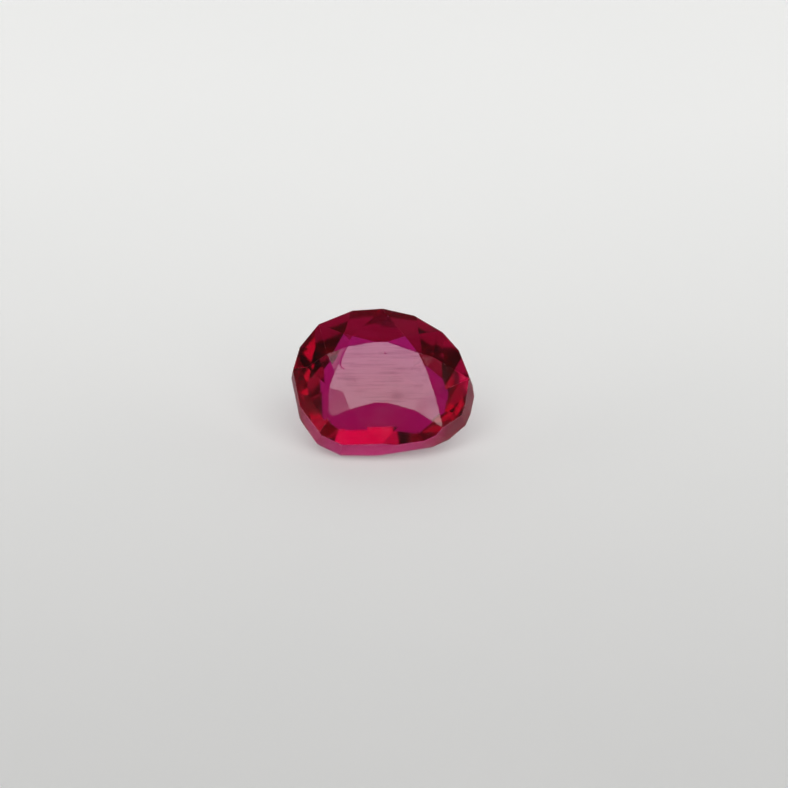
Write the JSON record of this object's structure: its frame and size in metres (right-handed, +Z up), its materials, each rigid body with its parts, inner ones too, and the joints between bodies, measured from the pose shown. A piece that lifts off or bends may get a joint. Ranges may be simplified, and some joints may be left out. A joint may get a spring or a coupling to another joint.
{
  "type": "cut ruby gemstone",
  "caption": "Loose oval-cushion ruby with a faceted crown, a thick flared girdle and a stepped, off-centre pavilion, lying on a pavilion facet.",
  "frame": {"origin": "on the surface that the stone rests on, under the middle of its bounding box", "axes": "+X along the stone's length, +Z up, -Y the side that the table leans towards"},
  "size_m": [0.008, 0.005, 0.0056],
  "materials": {
    "ruby": "clear purplish-red corundum, polished facets, finely ground girdle"
  },
  "bodies": {
    "root": {"ruby": "ruby"}
  },
  "joints": []
}
